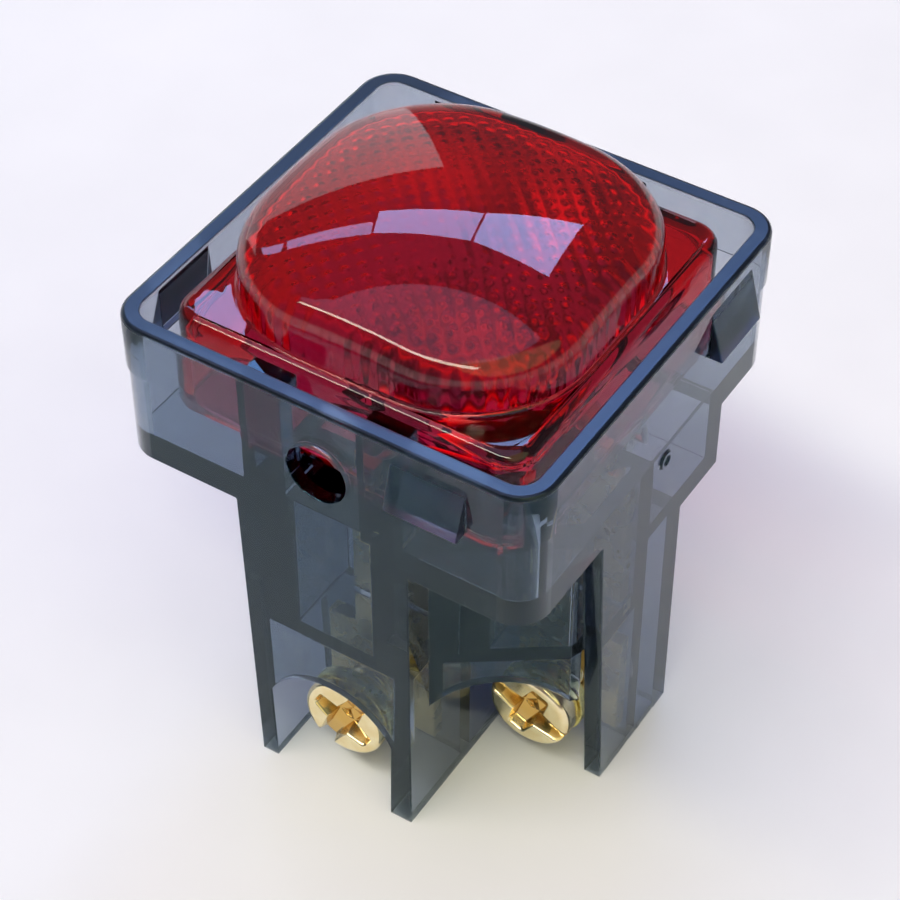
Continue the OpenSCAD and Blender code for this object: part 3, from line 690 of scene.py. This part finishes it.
def recess(a, b):
    """Depth under the face: a slot along a, and a cross whose arms narrow outwards."""
    soft = 0.2 * MM
    slot = 1.0 * MM * (1 - smooth_step(0.68 * MM - soft, 0.68 * MM + soft, abs(b)))
    arms = np.zeros_like(a)
    for along, across in ((abs(a), abs(b)), (abs(b), abs(a))):
        wide = 1.08 * MM - 0.16 * along
        arm = 1 - smooth_step(wide - soft, wide + soft, across)
        arm = arm * (1 - smooth_step(2.35 * MM, 2.8 * MM, along))
        arms = np.maximum(arms, arm * (1.6 * MM - 0.3 * along))
    return np.maximum(slot, arms)


print("recess depth in the middle", recess(np.zeros(1), np.zeros(1)))

# %% Screw surface
head_t, thread_r, thread_pitch, thread_depth = 2.1 * MM, 2.0 * MM, 0.7 * MM, 0.36 * MM
point_length, head_round, head_chamfer = 0.6 * MM, 0.5 * MM, 0.15 * MM


def screw_profile(radius, length):
    """Radius and depth: face from the middle out, rounded edge, side, underside, shank, point."""
    quarter = np.linspace(0, np.pi / 2, 7)[1:]
    face = np.linspace(0.03 * MM, radius - head_round, 70)
    shank = np.arange(head_t + 0.05 * MM, length - point_length, 0.07 * MM)
    r = [face, radius - head_round + head_round * np.sin(quarter), [radius, radius - head_chamfer],
         [(radius + thread_r) / 2, thread_r], 0 * shank + thread_r, [thread_r - 0.9 * point_length]]
    w = [0 * face, head_round * (1 - np.cos(quarter)), [head_t - head_chamfer, head_t],
         [head_t, head_t], shank, [length]]
    return np.concatenate(r)[:, None], np.concatenate(w)[:, None]


def screw_surface(low, high, slot_turn, columns=192):
    """Points, faces and recess depth of a screw that fills the box from low to high.

    The profile is turned about the screw's axis, which is Y. On the shank the radius
    loses depth * (1 - cos(2 pi * w / pitch - turn)) / 2, which is a helical groove.
    """
    r, w = screw_profile((high[0] - low[0]) / 2, high[1] - low[1])
    turn = np.linspace(0, 2 * np.pi, columns, endpoint=False)
    r, w = r + 0 * turn, w + 0 * turn
    on_shank = smooth_step(head_t, head_t + 0.5 * MM, w) * (r <= thread_r * 1.001)
    wave = 0.5 - 0.5 * np.cos(2 * np.pi * w / thread_pitch - turn)
    r = r - thread_depth * wave * on_shank
    a, b = r * np.cos(turn), r * np.sin(turn)
    sunk = recess(a, b) * (w < head_t * 0.6)
    w = np.maximum(w, sunk)
    c, s = math.cos(math.radians(slot_turn)), math.sin(math.radians(slot_turn))
    middle = (low + high) / 2
    grid = np.stack([middle[0] + a * c - b * s, low[1] + w, middle[2] + a * s + b * c], -1)
    rows = len(grid)
    ends = [grid[0].mean(0), grid[-1].mean(0)]
    parts = (grid_faces(rows, columns)[:, ::-1],
             fan_faces(0, columns, rows * columns)[:, [1, 0, 2]],
             fan_faces((rows - 1) * columns, columns, rows * columns + 1)[:, ::-1])
    faces = sum((part.tolist() for part in parts), [])
    depth = np.append(sunk.ravel(), [sunk.max(), 0])
    return np.concatenate([grid.reshape(-1, 3), ends]), faces, depth


for side, slot_turn in (("left", 61), ("right", -25)):
    low, high = (np.array(v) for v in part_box("terminal_screw_" + side))
    points, faces, sunk = screw_surface(low, high, slot_turn)
    screw = mesh_object("brass_screw_" + side, points, faces)
    cavity = screw.data.attributes.new("cavity", "FLOAT", "POINT")
    cavity.data.foreach_set("value", np.clip(sunk / (1.1 * MM), 0, 1))
    finish_piece(screw, screw_brass, side + "_screw", "terminal_screw_" + side)

# %% [markdown]
# ## Washers and strips
# They keep their packed form, and a merged copy gets rounded edges, because turned and
# pressed brass always has them and they carry the sparkle.

# %% Brass pieces with rounded edges
brass_round = 0.12 * MM
for node, name, body, material, slot in (
    ("clamp_washer_left", "brass_washer_left", "left_clamp", washer_brass, "washer_brass"),
    ("clamp_washer_right", "brass_washer_right", "right_clamp", washer_brass, "washer_brass"),
    ("terminal_left", "brass_terminal_left", "body", strip_brass, "strip_brass"),
    ("terminal_right", "brass_terminal_right", "body", strip_brass, "strip_brass"),
):
    piece = from_bmesh(merged_copy(node), name)
    edge_bevel(piece, brass_round)
    finish_piece(piece, material, body, node)

# %% [markdown]
# ## Lamp circuit
# The lamp, the resistor, its leads, sleeves and solder are small and half hidden, and
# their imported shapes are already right. They only get their finishes, in their own slots.

# %% Lamp circuit finishes
for node, material in (
    ("neon_glass", lamp_glass), ("neon_electrode_front", tinned_wire),
    ("neon_electrode_back", tinned_wire), ("resistor_body", resistor_lacquer),
    ("resistor_cap_left", cap_steel), ("resistor_cap_right", cap_steel),
    ("resistor_lead_left", tinned_wire), ("resistor_lead_right", tinned_wire),
    ("sleeve_front", sleeve_plastic), ("sleeve_back", sleeve_plastic),
    ("solder_joint_left", solder_metal), ("solder_joint_middle", solder_metal),
    ("solder_joint_right", solder_metal),
):
    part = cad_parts[node]
    if not part.material_slots:
        part.data.materials.append(material)
    for slot in part.material_slots:
        slot.material = material
print("lamp circuit dressed")

# %% [markdown]
# ## Studio
# The floor is one wide pale disc, so that low side views still end on it. Its rings grow
# outwards, because detail is only needed where the shadow falls.


# %% Floor
def wide_floor(radius=1.4, rings=12, turns=96):
    """Flat disc: rings of points whose radius grows as the square of the ring's number."""
    r = radius * (np.arange(1, rings + 1) / rings) ** 2
    turn = np.linspace(0, 2 * np.pi, turns, endpoint=False)
    x, y = r[:, None] * np.cos(turn), r[:, None] * np.sin(turn)
    points = np.stack([x, y, 0 * x], -1).reshape(-1, 3)
    return points, grid_faces(rings, turns)[:, ::-1].tolist() + [list(range(turns))]


floor = mesh_object("floor", *wide_floor())
floor_material, floor_tree, floor_shader = plain_finish(
    "pale_floor", (0.90, 0.90, 0.90), (0.93, 0.93, 0.93), (60.0, 0.8, 0.95, 0.0), 0.0)
floor_shader.inputs["Specular IOR Level"].default_value = 0.1
floor.data.materials.append(floor_material)
print("floor radius", max(floor.dimensions) / 2)

# %% [markdown]
# Two broad suns light the floor evenly out to its edge, as area lamps can't. One stands
# for a pale ceiling, which the dome mirrors as a soft glow along its front, and the other
# warms the right side.


# %% Suns
def direction(azimuth, elevation):
    """Unit vector; azimuth in degrees from +Y towards +X, elevation up from the floor."""
    a, e = math.radians(azimuth), math.radians(elevation)
    return Vector((math.sin(a) * math.cos(e), math.cos(a) * math.cos(e), math.sin(e)))


def soft_sun(name, azimuth, elevation, width, colour, strength):
    """Disc of sky, width degrees across, that lights the whole floor evenly."""
    data = bpy.data.lights.new(name, "SUN")
    data.angle = math.radians(width)
    data.color = colour
    data.energy = strength
    lamp = bpy.data.objects.new(name, data)
    scene.collection.objects.link(lamp)
    lamp.rotation_euler = direction(azimuth, elevation).to_track_quat("Z", "Y").to_euler()


soft_sun("ceiling", -115, 81, 58, (0.64, 0.54, 0.92), 0.78)
soft_sun("fill", 110, 45, 60, (1.0, 0.99, 0.48), 0.62)
print("suns ready")

# %% [markdown]
# Gloss needs something to mirror. Four bluish panes of a window draw the bright streak
# across the dome: they lean far back, as a window does when it is seen along its wall.
# A long strip draws the light lines on the front edges, and a card on the left lays
# a haze on the dome. Clear walls would show all of them as glaring bars, so neither the
# camera nor a ray that has passed through plastic sees them.


# %% Window, strip and card
def pane(name, place, turns, size, radiance, colour):
    """Rectangular lamp that faces the object, and is then rolled, dipped and leaned.

    place is azimuth, elevation and distance, turns are degrees about the lamp's Z, X and
    -Y, and size is width and height. An area lamp's power is radiance * pi * area, so
    that its brightness doesn't change with its size.
    """
    azimuth, elevation, away = place
    roll, dip, lean = turns
    data = bpy.data.lights.new(name, "AREA")
    data.shape = "RECTANGLE"
    data.size, data.size_y = size
    data.color = colour
    data.energy = radiance * math.pi * size[0] * size[1]
    lamp = bpy.data.objects.new(name, data)
    scene.collection.objects.link(lamp)
    toward = direction(azimuth, elevation)
    sideways = Vector((0, 0, 1)).cross(toward).normalized()
    turned = Matrix((sideways, toward.cross(sideways), toward)).transposed()
    for angle, axis in ((roll, "Z"), (dip, "X"), (-lean, "Y")):
        turned = turned @ Matrix.Rotation(math.radians(angle), 3, axis)
    lamp.matrix_world = Matrix.Translation(toward * away) @ turned.to_4x4()
    lamp.visible_camera = False
    lamp.visible_transmission = False


window_blue = (0.34, 0.49, 1.0)
for name, place, turns, size, radiance in (
    ("pane_right", (-21.09, 47.84, 1.2), (-3.49, 1.27, 73.79), (0.82, 0.217), 9.5),
    ("pane_middle", (-38.59, 45.90, 1.2), (-16.76, 0.86, 50.90), (0.444, 0.135), 8),
    ("pane_left", (-56.40, 42.84, 1.2), (-25.38, 1.12, 62.26), (0.503, 0.053), 5.5),
    ("pane_end", (-65.04, 39.29, 1.2), (49.17, -0.91, 77.63), (0.170, 0.091), 5.5),
):
    pane(name, place, turns, size, radiance, window_blue)
pane("strip", (-169, 62, 3.0), (0, 0, 0), (3.8, 0.42), 11.2, (1.0, 0.99, 0.82))
pane("side_card", (-56, 18, 1.2), (0, 0, 0), (0.86, 0.62), 1.25, (0.8, 0.92, 1.0))

# %% [markdown]
# The sky is dim, so that the lamps shape the object, and pale near the horizon, so that
# the floor's far edge doesn't show as a dark line in a low side view.

# %% Sky
world = bpy.data.worlds.new("room")
scene.world = world
world.use_nodes = True
sky = world.node_tree
sky_place = sky.nodes.new("ShaderNodeTexCoord")
sky_split = sky.nodes.new("ShaderNodeSeparateXYZ")
sky_ramp = sky.nodes.new("ShaderNodeValToRGB")
for stop, height, colour in zip(sky_ramp.color_ramp.elements, (0.02, 0.14),
                                ((0.94, 0.94, 0.95), (0.165, 0.145, 0.185))):
    stop.position = height
    stop.color = (*colour, 1)
sky.links.new(sky_place.outputs["Generated"], sky_split.inputs["Vector"])
sky.links.new(sky_split.outputs["Z"], sky_ramp.inputs["Fac"])
sky.links.new(sky_ramp.outputs["Color"], sky.nodes["Background"].inputs["Color"])
sky.nodes["Background"].inputs["Strength"].default_value = 1.0
print("sky ready")
